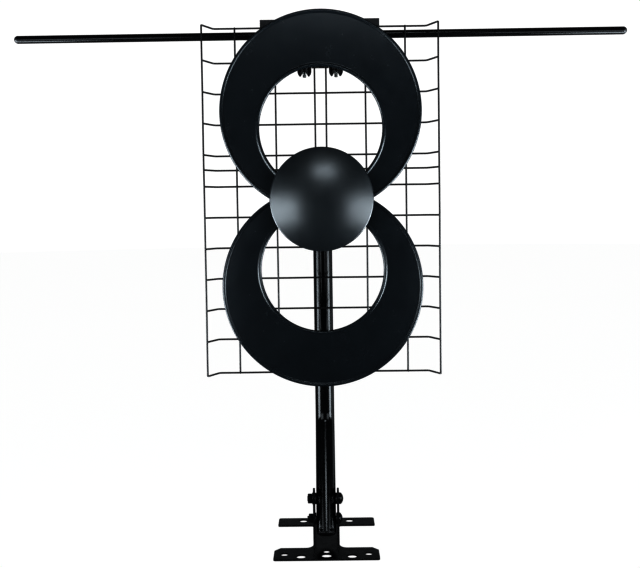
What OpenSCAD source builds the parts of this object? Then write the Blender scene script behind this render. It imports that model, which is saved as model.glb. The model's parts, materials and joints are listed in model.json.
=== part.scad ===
// Free-standing television antenna: two flat ring elements on a domed hub, a bent-wing wire
// reflector, a two-rod dipole above it and a J-shaped mast on a stamped foot.
// X is to the right, Y away from the front, Z up. Z = 0 is the foot's underside and the
// upper part of the mast stands on X = 0, Y = 0. All sizes are in millimetres.

/* [Foot] */
// Width of both cross bars of the foot
foot_w = 150; // [130:0.2:180]
// Sheet thickness of the foot and its ears
foot_t = 2.5; // [2.2:0.1:3]
// Front edge of the front bar, ahead of the mast axis
foot_front = 117; // [112:1:122]
// Rear edge of the rear bar, behind the mast axis
foot_rear = 27; // [24:1:40]
// Width over the two ears
ears_w = 38; // [37.6:0.2:40]
// Distance between the two main screw slots of a bar
slot_spacing = 72.4; // [66:0.2:80]

/* [Mast] */
// Outer diameter of the mast tube
mast_d = 28.6; // [28:0.1:28.8]
// Wall of the mast tube
mast_wall = 1.6; // [1.2:0.1:2]
// Height of the mast's top end
mast_top = 543; // [540:1:552]
// Height where the straight upper part runs into the bend
bend_z = 184; // [180:0.5:188]
// Angle of the bend
bend_angle = 25; // [23:0.5:26]
// Radius of the bend at the tube's centre line
bend_r = 50; // [45:1:60]
// Length of the straight part below the bend
leg_len = 156; // [154:0.5:158]
// Distance between the pivot bolt and the lock bolt
bolt_spacing = 28; // [26:0.2:29]
// Tilt either way that the slot in the ears allows
tilt_limit = 30; // [15:1:32]

/* [Ring elements] */
// Height of the hub's centre
head_z = 505; // [500:1:510]
// Outer radius of a ring
ring_r = 135; // [130:0.5:138]
// Radius of the hole in a ring
hole_r = 82.2; // [78:0.2:84]
// Distance from the hub's centre to a ring's centre
ring_offset = 117.4; // [114:0.2:119]
// Distance from the hub's centre to a hole's centre
hole_offset = 94.6; // [93:0.2:96]
// Sheet thickness of a ring
ring_t = 1.2; // [1:0.1:1.6]
// Depth of a ring over its folded rims
ring_depth = 5; // [4:0.2:6]
// Distance from the mast axis to the front of the rings
ring_front = 146.5; // [146:0.5:148]

/* [Hub] */
// Radius of the domed cover
hub_r = 69; // [67:0.5:71]
// Distance from the mast axis to the top of the dome
hub_front = 172; // [170:0.5:175]
// Height of the dome above its straight edge
dome_h = 13.5; // [12:0.5:14]

/* [Reflector] */
// Height of the reflector
grid_h = 507; // [500:1:512]
// Width of its flat part
grid_flat_w = 310; // [300:1:330]
// How far each wing reaches sideways
wing_x = 13.4; // [11:0.1:16]
// How far each wing reaches forward
wing_y = 24; // [20:0.5:28]
// Wire diameter
wire_d = 2.4; // [2:0.1:2.6]
// Distance from the mast axis to the upright wires
grid_y = 49; // [49:0.1:49.5]

/* [Dipole] */
// Span over the two rod tips
dipole_span = 902; // [860:1:940]
// Rod diameter
rod_d = 11.1; // [10:0.1:11.5]
// Height of the rods' axis above the hub's centre
rod_rise = 244.2; // [243.5:0.1:245]
// Width of the dipole's bracket
bracket_w = 174; // [168:1:180]
// Distance between the two wing screws
wing_screw_spacing = 46.6; // [45:0.2:50]

/* [Hidden] */
$fn = 96;

black_steel = "#1b1c1e";
black_gloss = "#111214";
charcoal = "#2b2d31";
zinc = "#b9bcc0";
brass = "#b98f45";
board_green = "#23533a";

// Fits
gap = 0.3;
run = 0.05;

mast_r = mast_d / 2;
ear_out = ears_w / 2;
ear_in = ear_out - foot_t;

// The leg's straight line: distance s is measured down from the end of the bend.
function on_leg(s) = [
    -bend_r * (1 - cos(bend_angle)) - s * sin(bend_angle),
    bend_z - bend_r * sin(bend_angle) - s * cos(bend_angle)
];
pivot_inset = 18.5;
pivot_at = on_leg(leg_len - pivot_inset);
lock_at = on_leg(leg_len - pivot_inset - bolt_spacing);
bolt_r = 3.95;

// Foot layout
front_bar_back = -80.8;
rear_bar_front = 0;
outer_slot_spacing = 120;
front_slot_y = -107.7;
outer_slot_y = -100.5;
rear_slot_y = 17;
centre_slot_y = -105.2;
centre_hole_y = -92.2;

// Head layout
clamp_z = 30;
leg_x = mast_r + gap + 3;
u_rod_r = 3;
upright_y = -grid_y;
cross_y = -grid_y + wire_d - 0.2;
grid_rear = cross_y + wire_d / 2;
grid_front = upright_y - wire_d / 2;
ring_back = -ring_front + ring_depth;
hub_screw_at = [28, 42];
rear_shell_r = 58;
rear_shell_back = -118;
boom_screw_at = 14.1;
hub_socket_y = -129;

// Reflector wire rows: one above and one below the centre for each of these heights
row_heights = [22.5, 67.5, 112.5, 157.5, 202.5];
edge_row = grid_h / 2 - wire_d / 2;
extra_row = 46.4;
upright_places = [65.7, 123.9];
middle_upright = 8.2;
middle_upright_low = 69.5;

// Dipole layout
bracket_top = head_z + 264.8;
bracket_bottom = head_z + 199.5;
bracket_step = head_z + 226;
rod_z = head_z + rod_rise;
bracket_front = -45.1;
bracket_back = -21.2;
body_half = 36;
rod_y = -34;
rod_r = rod_d / 2;
socket_r = 7.5;
socket_in = 14;
wing_x_at = wing_screw_spacing / 2;
connector_z = head_z + 224;
connector_x = 12;

// ---------- helpers ----------

module along_x(x0, x1, r) {
    translate([x0, 0, 0])
        rotate([0, 90, 0])
            cylinder(r = r, h = x1 - x0);
}

module along_y(y0, y1, r) {
    translate([0, y0, 0])
        rotate([-90, 0, 0])
            cylinder(r = r, h = y1 - y0);
}

// Flat outline in X and Z, given thickness along Y
module plate_xz(y0, y1) {
    translate([0, y1, 0])
        rotate([90, 0, 0])
            linear_extrude(y1 - y0)
                children();
}

// Flat outline in Y and Z, given thickness along X
module plate_yz(x0, x1) {
    translate([x0, 0, 0])
        rotate([90, 0, 90])
            linear_extrude(x1 - x0)
                children();
}

// Box from its lowest to its highest corner
module box(low, high) {
    translate(low)
        cube(high - low);
}

// Hex nut on an axis along X, from x0 to x1
module hex_x(x0, x1, flats, bore_r) {
    translate([x0, 0, 0])
        rotate([0, 90, 0])
            difference() {
                cylinder(r = flats / 2 / cos(30), h = x1 - x0, $fn = 6);
                translate([0, 0, -1])
                    cylinder(r = bore_r, h = x1 - x0 + 2);
            }
}

module hex_y(y0, y1, flats, bore_r) {
    translate([0, y0, 0])
        rotate([-90, 0, 0])
            difference() {
                cylinder(r = flats / 2 / cos(30), h = y1 - y0, $fn = 6);
                translate([0, 0, -1])
                    cylinder(r = bore_r, h = y1 - y0 + 2);
            }
}

module ring_x(x0, x1, r, bore_r) {
    difference() {
        along_x(x0, x1, r);
        along_x(x0 - 1, x1 + 1, bore_r);
    }
}

module ring_y(y0, y1, r, bore_r) {
    difference() {
        along_y(y0, y1, r);
        along_y(y0 - 1, y1 + 1, bore_r);
    }
}

// Half profile of a round head: flat below, a short straight edge, a dome above
module head_2d(r, h) {
    rise = h * 0.8;
    dome_r = (r * r + rise * rise) / (2 * rise);
    intersection() {
        translate([0, h - dome_r])
            circle(r = dome_r);
        square([r, h]);
    }
}

// Low round screw head on an axis along Y: flat face at y, dome towards the side dir
module pan_head_y(y, r, h, dir) {
    translate([0, y, 0])
        rotate([-90 * dir, 0, 0])
            rotate_extrude()
                head_2d(r, h);
}

// Points on an arc, both ends included
function arc(c, r, a0, a1, n) = [for (i = [0:n]) let (a = a0 + (a1 - a0) * i / n) c + r * [cos(a), sin(a)]];

function angle_of(p, c) = atan2(p[1] - c[1], p[0] - c[0]);

function mirrored(points) = [for (i = [len(points) - 1:-1:0]) [-points[i][0], points[i][1]]];

// Long hole through the plate, lying along X
module slot(at, length, half_w) {
    straight = length - 2 * half_w;
    translate([at[0], at[1], -1]) {
        for (side = [-1, 1])
            translate([side * straight / 2, 0, 0])
                cylinder(r = half_w, h = foot_t + 2);
        translate([-straight / 2, -half_w, 0])
            cube([straight, 2 * half_w, foot_t + 2]);
    }
}

// ---------- foot ----------

module foot_outline() {
    bar = foot_w / 2;
    corner = 3;
    chamfer = 8.5;
    fillet = 11;
    small = 5;
    half = concat(
        arc([bar - corner, -foot_front + corner], corner, -90, 0, 5),
        [[bar, front_bar_back - chamfer], [bar - chamfer, front_bar_back]],
        arc([ear_out + fillet, front_bar_back + fillet], fillet, 270, 180, 8),
        arc([ear_out + small, rear_bar_front - small], small, 180, 90, 5),
        arc([bar - 2, rear_bar_front + 2], 2, -90, 0, 3),
        arc([bar - corner, foot_rear - corner], corner, 0, 90, 5)
    );
    polygon(concat(half, mirrored(half)));
}

// Ear in Y and Z: a round head about the pivot, over the lock bolt's slot, on a broad root
module ear_outline() {
    head_r = bolt_spacing + bolt_r + gap + 10.5;
    middle = angle_of(lock_at, pivot_at);
    reach = tilt_limit + 8;
    polygon(concat(
        [[-76, 0], [-20, 0]],
        arc(pivot_at, head_r, middle - reach, middle + reach, 30)
    ));
}

// Curved slot that the lock bolt runs in as the mast tilts
module tilt_slot() {
    half_w = bolt_r + gap + 0.05;
    over = 1;
    start = angle_of(lock_at, pivot_at) - tilt_limit - over;
    end = angle_of(lock_at, pivot_at) + tilt_limit + over;
    end_centre = pivot_at + bolt_spacing * [cos(end), sin(end)];
    start_centre = pivot_at + bolt_spacing * [cos(start), sin(start)];
    polygon(concat(
        arc(pivot_at, bolt_spacing + half_w, start, end, 16),
        arc(end_centre, half_w, end, end + 180, 8),
        arc(pivot_at, bolt_spacing - half_w, end, start, 16),
        arc(start_centre, half_w, start + 180, start + 360, 8)
    ));
}

module foot_plate() {
    color(black_steel)
        difference() {
            union() {
                linear_extrude(foot_t)
                    foot_outline();
                for (side = [0, 1])
                    mirror([side, 0, 0])
                        plate_yz(ear_in, ear_out)
                            ear_outline();
            }
            for (side = [-1, 1]) {
                slot([side * slot_spacing / 2, front_slot_y], 14, 6);
                slot([side * outer_slot_spacing / 2, outer_slot_y], 11, 4.8);
                slot([side * slot_spacing / 2, rear_slot_y], 13, 5.9);
            }
            slot([0, centre_slot_y], 15, 6.2);
            translate([0, centre_hole_y, -1])
                cylinder(r = 5.2, h = foot_t + 2);
            translate([0, pivot_at[0], pivot_at[1]])
                along_x(-30, 30, bolt_r + run);
            plate_yz(-30, 30)
                tilt_slot();
        }
}

// Round-headed bolt on the X axis: head at the right, thread end at the left
module cross_bolt(head_x) {
    translate([head_x, 0, 0])
        rotate([0, 90, 0])
            rotate_extrude() {
                head_2d(8.2, 4.9);
                translate([0, -27.5 - head_x])
                    square([bolt_r, 27.5 + head_x + 0.5]);
            }
}

module at_pivot() {
    translate([0, pivot_at[0], pivot_at[1]])
        children();
}

module at_lock() {
    translate([0, lock_at[0], lock_at[1]])
        children();
}

module pivot_bolt() {
    color(black_steel)
        at_pivot()
            cross_bolt(ear_out + 0.05);
}

module pivot_nut() {
    color(black_steel)
        at_pivot()
            hex_x(-ear_out - 6.4, -ear_out - 0.05, 12.7, bolt_r + run);
}

module pivot_spacers() {
    color(charcoal)
        at_pivot()
            for (side = [0, 1])
                mirror([side, 0, 0])
                    ring_x(mast_r + gap, ear_in - 0.05, 8, bolt_r + run);
}

// ---------- mast ----------

// Solid round bar on the mast's path; over lengthens both ends and the straight parts
// run a little way into the bend, whose radius differs by step so that they join cleanly
module mast_path(r, over, step) {
    foot_end = on_leg(leg_len + over);
    lap = 1;
    translate([0, 0, bend_z - lap])
        cylinder(r = r, h = mast_top - bend_z + over + lap);
    translate([0, -bend_r, bend_z])
        rotate([90, 0, 90])
            rotate([0, 0, -bend_angle])
                rotate_extrude(angle = bend_angle)
                    translate([bend_r, 0])
                        circle(r = r + step);
    translate([0, foot_end[0], foot_end[1]])
        rotate([-bend_angle, 0, 0])
            cylinder(r = r, h = leg_len + over + lap);
}

// Along the leg from its open end: z runs up the tube, -Y is the front
module at_leg_end() {
    foot_end = on_leg(leg_len);
    translate([0, foot_end[0], foot_end[1]])
        rotate([-bend_angle, 0, 0])
            children();
}

module mast_tube() {
    dent_r = 3;
    color(black_gloss)
        difference() {
            mast_path(mast_r, 0, 0.02);
            mast_path(mast_r - mast_wall, 1, -0.02);
            at_pivot()
                along_x(-30, 30, bolt_r + run);
            at_lock()
                along_x(-30, 30, bolt_r + run);
            // two dents low on the front hold the end plug
            at_leg_end()
                for (turn = [-32, 32])
                    rotate([0, 0, turn])
                        translate([0, -mast_r - dent_r + 1, 4])
                            sphere(r = dent_r);
        }
}

module mast_top_cap() {
    color(black_steel) {
        translate([0, 0, mast_top + 0.05])
            cylinder(r = mast_r, h = 2.6);
        translate([0, 0, mast_top - 12])
            cylinder(r = mast_r - mast_wall - run, h = 12.5);
    }
}

module mast_end_plug() {
    wall = 1;
    dome_h = 5;
    dome_r = (mast_r * mast_r + dome_h * dome_h) / (2 * dome_h);
    color(black_steel)
        at_leg_end() {
            intersection() {
                translate([0, 0, -0.05 - wall - dome_h])
                    cylinder(r = mast_r, h = wall + dome_h);
                translate([0, 0, -0.05 - wall - dome_h + dome_r])
                    sphere(r = dome_r);
            }
            translate([0, 0, -0.5])
                cylinder(r = mast_r - mast_wall - run, h = 13.5);
        }
}

module lock_bolt() {
    color(black_steel)
        at_lock()
            cross_bolt(ear_out + gap + 1.3);
}

module lock_nut() {
    color(black_steel)
        at_lock()
            hex_x(-ear_out - gap - 7.6, -ear_out - gap - 1.3, 12.7, bolt_r + run);
}

module lock_washers() {
    color(black_steel)
        at_lock()
            for (side = [0, 1])
                mirror([side, 0, 0])
                    ring_x(ear_out + gap, ear_out + gap + 1.2, 8.2, bolt_r + run);
}

module lock_spacers() {
    color(charcoal)
        at_lock()
            for (side = [0, 1])
                mirror([side, 0, 0])
                    ring_x(mast_r + 0.02, ear_in - gap, 8, bolt_r + run);
}

// ---------- mast clamp ----------

module at_head() {
    translate([0, 0, head_z])
        children();
}

// The four places where the U-bolts' legs pass
module at_u_legs() {
    for (x = [-leg_x, leg_x])
        for (z = [-clamp_z, clamp_z])
            translate([x, 0, z])
                children();
}

module clamp_saddle() {
    color(charcoal)
        at_head()
            difference() {
                box([-28, grid_rear + 0.1, -38], [28, -7, 38]);
                translate([0, 0, -50])
                    cylinder(r = mast_r + gap, h = 100);
                at_u_legs()
                    along_y(-60, 10, u_rod_r + 0.1);
            }
}

module u_bolts() {
    color(zinc)
        at_head()
            for (z = [-clamp_z, clamp_z])
                translate([0, 0, z]) {
                    rotate_extrude(angle = 180)
                        translate([leg_x, 0])
                            circle(r = u_rod_r);
                    for (x = [-leg_x, leg_x])
                        translate([x, 0, 0])
                            along_y(-66, 0, u_rod_r);
                }
}

module u_bolt_washers() {
    color(zinc)
        at_head()
            at_u_legs()
                ring_y(-56.3, -55.1, 6.4, u_rod_r + run);
}

module u_bolt_nuts() {
    color(zinc)
        at_head()
            at_u_legs()
                hex_y(-61.4, -56.35, 10, u_rod_r + run);
}

// ---------- boom and hub ----------

module boom() {
    color(charcoal)
        at_head()
            difference() {
                union() {
                    along_y(rear_shell_back + 0.05, -114, 26);
                    along_y(-115, -54, 16);
                    box([-27, -55, -38], [27, grid_front - 0.15, 38]);
                }
                along_y(-130, -40, 12.5);
                at_u_legs()
                    along_y(-60, -40, u_rod_r + 0.1);
                at_boom_screws()
                    along_y(-120, -110, 1.7);
            }
}

module at_boom_screws() {
    for (x = [-boom_screw_at, boom_screw_at])
        for (z = [-boom_screw_at, boom_screw_at])
            translate([x * 1.05, 0, z * 1.05])
                children();
}

module boom_screws() {
    color(zinc)
        at_head()
            at_boom_screws() {
                along_y(-127, -113.95, 1.45);
                pan_head_y(-113.95, 2.9, 1.9, 1);
            }
}

module at_hub_screws() {
    for (x = [-hub_screw_at[0], hub_screw_at[0]])
        for (z = [-hub_screw_at[1], hub_screw_at[1]])
            translate([x, 0, z])
                children();
}

module hub_rear_shell() {
    wall = 2.5;
    color(charcoal)
        at_head()
            difference() {
                union() {
                    difference() {
                        along_y(ring_back + 0.1, rear_shell_back, rear_shell_r);
                        along_y(-150, rear_shell_back - 3, rear_shell_r - wall);
                    }
                    at_hub_screws()
                        along_y(ring_back + 0.1, rear_shell_back - 1, 4.6);
                    at_boom_screws()
                        along_y(-128, rear_shell_back - 1, 4);
                    // flat pad for the coaxial socket
                    translate([0, hub_socket_y, -rear_shell_r - 0.5])
                        cylinder(r = 8, h = 6);
                }
                along_y(-150, -100, 12.5);
                at_hub_screws()
                    along_y(-160, -100, 1.9);
                at_boom_screws()
                    along_y(-129, -100, 1.5);
                translate([0, hub_socket_y, -70])
                    cylinder(r = 3.5, h = 30);
            }
}

module hub_front_cover() {
    wall = 2.4;
    dome_r = (hub_r * hub_r + dome_h * dome_h) / (2 * dome_h);
    rim = -ring_front - 0.1;
    color(charcoal)
        at_head()
            difference() {
                union() {
                    intersection() {
                        translate([0, -hub_front + dome_r, 0])
                            sphere(r = dome_r, $fn = 180);
                        along_y(-hub_front - 1, rim, hub_r);
                    }
                    at_hub_screws()
                        along_y(-152, ring_back - 0.1, 4.6);
                }
                difference() {
                    intersection() {
                        translate([0, -hub_front + dome_r, 0])
                            sphere(r = dome_r - wall, $fn = 180);
                        along_y(-hub_front, rim + 1, hub_r - wall);
                    }
                    at_hub_screws()
                        along_y(-hub_front, -100, 4.6);
                }
                at_hub_screws()
                    along_y(-159, -100, 1.5);
            }
}

// Two arcs of soft strip that close the slit between cover and rear shell inside the holes
module hub_gasket() {
    color(black_steel)
        at_head()
            for (side = [-1, 1])
                intersection() {
                    ring_y(-ring_front, ring_back - 0.2, rear_shell_r, 55.3);
                    translate([0, 0, side * hole_offset])
                        along_y(-ring_front - 1, ring_back + 1, hole_r - ring_t - 0.4);
                }
}

module hub_screws() {
    color(zinc)
        at_head()
            at_hub_screws() {
                along_y(-157, rear_shell_back + 0.1, 1.45);
                pan_head_y(rear_shell_back + 0.02, 3.4, 2.2, 1);
            }
}

module balun_board() {
    color(board_green)
        at_head()
            difference() {
                box([-20, -134, -50], [20, -132.4, 24]);
                for (x = [-17, 17])
                    translate([x, 0, 20])
                        along_y(-140, -130, 1.6);
            }
}

module feed_terminals() {
    color(brass)
        at_head()
            difference() {
                for (side = [-1, 1])
                    box([side * 10 - 5, -ring_front + ring_t + 0.05, -10], [side * 10 + 5, -134.05, 10]);
                at_feed_screws()
                    along_y(-150, -130, 1.55);
            }
}

module at_feed_screws() {
    for (x = [-10, 10])
        for (z = [-6, 6])
            translate([x, 0, z])
                children();
}

module feed_screws() {
    color(zinc)
        at_head()
            at_feed_screws() {
                along_y(-ring_front - 0.1, -136, 1.5);
                pan_head_y(-ring_front - 0.05, 3.1, 2, -1);
            }
}

// Coaxial socket standing on z = 0: threaded barrel above a flange, thin neck through the wall
module coax_socket(barrel) {
    neck_r = 3.4;
    difference() {
        union() {
            translate([0, 0, 2.1])
                cylinder(r = 4.75, h = barrel);
            cylinder(r = 6.4, h = 2.1);
            translate([0, 0, -8])
                cylinder(r = neck_r, h = 9);
        }
        translate([0, 0, barrel - 6])
            cylinder(r = 1.2, h = 9);
    }
}

module hub_connector() {
    color(zinc)
        at_head()
            translate([0, hub_socket_y, -rear_shell_r - 0.55])
                rotate([180, 0, 0])
                    coax_socket(7);
}

module hub_connector_nut() {
    color(zinc)
        at_head()
            translate([0, hub_socket_y, -rear_shell_r + 5.6])
                difference() {
                    cylinder(r = 9 / 2 / cos(30), h = 1.8, $fn = 6);
                    translate([0, 0, -1])
                        cylinder(r = 3.45, h = 5);
                }
}

// ---------- ring elements ----------

// One ring above the hub: flat sheet with both rims folded back, open at the feed
module ring_element() {
    feed_gap = 8;
    difference() {
        translate([0, -ring_front, 0]) {
            difference() {
                translate([0, 0, ring_offset])
                    along_y(0, ring_depth, ring_r);
                translate([0, 0, hole_offset])
                    along_y(-1, ring_depth + 1, hole_r);
                // hollow back between the two folded rims
                difference() {
                    translate([0, 0, ring_offset])
                        along_y(ring_t, ring_depth + 1, ring_r - ring_t);
                    translate([0, 0, hole_offset])
                        along_y(0, ring_depth + 2, hole_r + ring_t);
                }
            }
        }
        box([-ring_r - 1, -200, -ring_r], [ring_r + 1, -100, 1]);
        box([-feed_gap / 2, -200, -1], [feed_gap / 2, -100, 25]);
        for (x = [-10, 10])
            translate([x, 0, 6])
                along_y(-160, -130, 1.9);
    }
}

module upper_ring() {
    color(charcoal)
        at_head()
            ring_element();
}

module lower_ring() {
    color(charcoal)
        at_head()
            mirror([0, 0, 1])
                ring_element();
}

// ---------- reflector ----------

wing_angle = atan2(wing_y, wing_x);
wire_bend_r = 6;

// One cross wire: straight middle, a bend at each end and a wing leaning forward
module cross_wire() {
    r = wire_d / 2;
    bend_start = grid_flat_w / 2 - wire_bend_r * tan(wing_angle / 2);
    wing_len = norm([wing_x, wing_y]) - wire_bend_r * tan(wing_angle / 2);
    lap = 0.4;
    along_x(-bend_start - lap, bend_start + lap, r);
    for (side = [0, 1])
        mirror([side, 0, 0])
            translate([bend_start, -wire_bend_r, 0])
                rotate([0, 0, 90 - wing_angle]) {
                    rotate_extrude(angle = wing_angle)
                        translate([wire_bend_r, 0])
                            circle(r = r + 0.03);
                    translate([wire_bend_r, lap, 0])
                        rotate([90, 0, 0])
                            cylinder(r = r, h = wing_len + lap);
                }
}

module reflector_cross_wires() {
    rows = concat(
        [edge_row, -edge_row, extra_row],
        [for (h = row_heights) h],
        [for (h = row_heights) -h]
    );
    color(black_steel)
        at_head()
            for (h = rows)
                translate([0, cross_y, h])
                    cross_wire();
}

module reflector_upright_wires() {
    r = wire_d / 2;
    edge_x = grid_flat_w / 2 + wing_x;
    edge_y = cross_y - wing_y;
    color(black_steel)
        at_head() {
            for (x = upright_places)
                for (side = [-1, 1])
                    translate([side * x, upright_y, -grid_h / 2])
                        cylinder(r = r, h = grid_h);
            // the middle pair stops below the hub, so nothing crosses the mast there
            for (side = [-1, 1])
                translate([side * middle_upright, upright_y, -middle_upright_low])
                    cylinder(r = r, h = grid_h / 2 + middle_upright_low);
            // the edge wires lie on the outside of the wings
            for (side = [-1, 1])
                translate([side * (edge_x + 0.8), edge_y + 2.2, -grid_h / 2])
                    cylinder(r = r, h = grid_h);
        }
}

// ---------- dipole bracket ----------

module bracket_outline(inset) {
    half = bracket_w / 2 - inset;
    body = body_half - inset;
    polygon([
        [-half, bracket_top - inset], [-half, bracket_step + inset],
        [-body, bracket_step + inset], [-body, bracket_bottom + inset],
        [body, bracket_bottom + inset], [body, bracket_step + inset],
        [half, bracket_step + inset], [half, bracket_top - inset]
    ]);
}

module at_rod_axis() {
    translate([0, rod_y, rod_z])
        children();
}

module at_wing_screws() {
    for (x = [-wing_x_at, wing_x_at])
        translate([x, rod_y, 0])
            children();
}

module at_cover_screws() {
    for (side = [-1, 1]) {
        translate([side * 81.5, 0, bracket_top - 6.5])
            children();
        translate([side * 31.5, 0, bracket_bottom + 5.5])
            children();
    }
}

module at_jaw_screws() {
    for (z = [head_z + 216, head_z + 232])
        translate([0, 0, z])
            children();
}

module dipole_bracket() {
    wall = 2.2;
    color(black_steel)
        difference() {
            union() {
                difference() {
                    plate_xz(bracket_front, bracket_back)
                        bracket_outline(0);
                    plate_xz(bracket_front + wall, bracket_back + 1)
                        bracket_outline(wall);
                }
                at_cover_screws()
                    along_y(bracket_front + 1, bracket_back - 2.3, 3.4);
                at_jaw_screws()
                    along_y(bracket_front + 1, bracket_front + 10, 4);
                at_wing_screws()
                    translate([0, 0, bracket_bottom + 1])
                        cylinder(r = 6.4, h = 14);
            }
            at_rod_axis()
                along_x(-100, 100, socket_r + run);
            at_wing_screws()
                translate([0, 0, bracket_bottom - 1])
                    cylinder(r = 4.05, h = 30);
            at_cover_screws()
                along_y(bracket_front + 3, bracket_back + 1, 1.3);
            at_jaw_screws()
                along_y(bracket_front - 1, bracket_front + 9, 1.5);
        }
}

module bracket_cover() {
    color(black_steel)
        difference() {
            plate_xz(bracket_back - 2.2, bracket_back)
                bracket_outline(2.35);
            at_cover_screws()
                along_y(-40, 0, 1.6);
            for (x = [-connector_x, connector_x])
                translate([x, 0, connector_z])
                    along_y(-40, 0, 3.5);
        }
}

module cover_screws() {
    color(zinc)
        at_cover_screws() {
            along_y(bracket_front + 6, bracket_back + 0.1, 1.25);
            pan_head_y(bracket_back + 0.02, 2.7, 1.7, 1);
        }
}

module matching_board() {
    color(board_green)
        difference() {
            box([-26, -28.3, head_z + 216], [26, -26.7, head_z + 235.5]);
            for (x = [-22.5, 22.5])
                translate([x, 0, head_z + 232])
                    along_y(-30, -20, 1.6);
            for (x = [-connector_x, connector_x])
                translate([x, 0, connector_z])
                    along_y(-30, -20, 3.5);
        }
}

module bracket_connectors() {
    color(zinc)
        for (x = [-connector_x, connector_x])
            translate([x, bracket_back + 0.05, connector_z])
                rotate([-90, 0, 0])
                    coax_socket(9.6);
}

module rod_sockets() {
    color(brass)
        at_rod_axis()
            for (side = [0, 1])
                mirror([side, 0, 0])
                    difference() {
                        along_x(socket_in, bracket_w / 2, socket_r);
                        along_x(socket_in + 3, bracket_w / 2 + 1, rod_r + run);
                        translate([wing_x_at, 0, -20])
                            cylinder(r = 2.8, h = 20);
                    }
}

module screw_inserts() {
    color(brass)
        at_wing_screws()
            translate([0, 0, bracket_bottom + 0.2])
                difference() {
                    cylinder(r = 4, h = 14.6);
                    translate([0, 0, -1])
                        cylinder(r = 2.5 + run, h = 20);
                }
}

// Plate ahead of the grid that pulls the bracket against its wires
module grid_jaw() {
    color(black_steel)
        difference() {
            box([-18, grid_front - 3.6, head_z + 207], [18, grid_front - 0.1, head_z + 243]);
            at_jaw_screws()
                along_y(-60, -40, 1.7);
        }
}

module jaw_screws() {
    color(zinc)
        at_jaw_screws() {
            along_y(grid_front - 3.7, bracket_front + 8, 1.45);
            pan_head_y(grid_front - 3.65, 3.1, 2, -1);
        }
}

// Small bare-metal tab under the bracket, left blank
module blank_label_tab() {
    low = bracket_bottom - 5.8;
    color(zinc) {
        box([-12.5, bracket_front, low], [12.5, bracket_front + 0.8, bracket_bottom - 0.1]);
        box([-12.5, bracket_front, bracket_bottom - 0.9], [12.5, -38, bracket_bottom - 0.1]);
    }
}

// ---------- wing screws ----------

// Outline of a wing knob in X and Z, zero at its top face: round hub and two wings
module wing_knob(x) {
    wing = [
        [3, -0.4], [9.2, -0.4], [10.2, -1.4], [10.2, -8], [9.4, -10.8],
        [7.6, -13.6], [6.4, -14.4], [5, -13.6], [4.2, -11.6], [3, -10]
    ];
    color(black_steel)
        translate([x, rod_y, bracket_bottom - 0.9 - gap])
            difference() {
                union() {
                    translate([0, 0, -9])
                        cylinder(r = 5.2, h = 9);
                    for (side = [0, 1])
                        mirror([side, 0, 0])
                            plate_xz(-1.6, 1.6)
                                polygon(wing);
                }
                translate([0, 0, -20])
                    cylinder(r = 2.5, h = 30);
            }
}

module wing_screw(x) {
    color(zinc)
        translate([x, rod_y, bracket_bottom - 16.7])
            cylinder(r = 2.5, h = rod_z - rod_r - gap - bracket_bottom + 16.7);
}

module left_wing_knob() wing_knob(-wing_x_at);
module right_wing_knob() wing_knob(wing_x_at);
module left_wing_screw() wing_screw(-wing_x_at);
module right_wing_screw() wing_screw(wing_x_at);

// ---------- rods ----------

// Right-hand rod: tube from its seat in the socket to the tip cap
module rod() {
    color(black_gloss)
        at_rod_axis()
            ring_x(socket_in + 3.4, dipole_span / 2 - rod_r, rod_r, rod_r - 1);
}

module rod_tip() {
    tip = dipole_span / 2 - rod_r;
    color(black_steel)
        at_rod_axis()
            translate([tip, 0, 0])
                rotate([0, 90, 0])
                    rotate_extrude() {
                        intersection() {
                            circle(r = rod_r);
                            translate([0, run])
                                square(rod_r);
                        }
                        translate([0, -12])
                            square([rod_r - 1 - run, 13]);
                    }
}

module right_rod() rod();
module right_rod_tip() rod_tip();
module left_rod() mirror([1, 0, 0]) rod();
module left_rod_tip() mirror([1, 0, 0]) rod_tip();

// ---------- output ----------

foot_plate();
pivot_bolt();
pivot_nut();
pivot_spacers();
mast_tube();
mast_top_cap();
mast_end_plug();
lock_bolt();
lock_nut();
lock_washers();
lock_spacers();
clamp_saddle();
u_bolts();
u_bolt_washers();
u_bolt_nuts();
boom();
boom_screws();
hub_rear_shell();
hub_front_cover();
hub_gasket();
hub_screws();
balun_board();
feed_terminals();
feed_screws();
hub_connector();
hub_connector_nut();
upper_ring();
lower_ring();
reflector_cross_wires();
reflector_upright_wires();
dipole_bracket();
bracket_cover();
cover_screws();
matching_board();
bracket_connectors();
rod_sockets();
screw_inserts();
grid_jaw();
jaw_screws();
blank_label_tab();
left_wing_knob();
left_wing_screw();
right_wing_knob();
right_wing_screw();
left_rod();
left_rod_tip();
right_rod();
right_rod_tip();
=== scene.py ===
"""Looks of a free-standing television antenna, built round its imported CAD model.

Lengths are in metres, in the CAD's frame: X to the right, Y away from the front, Z up.
"""

import json
import math

import bmesh
import bpy
from mathutils import Matrix, Vector


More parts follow.
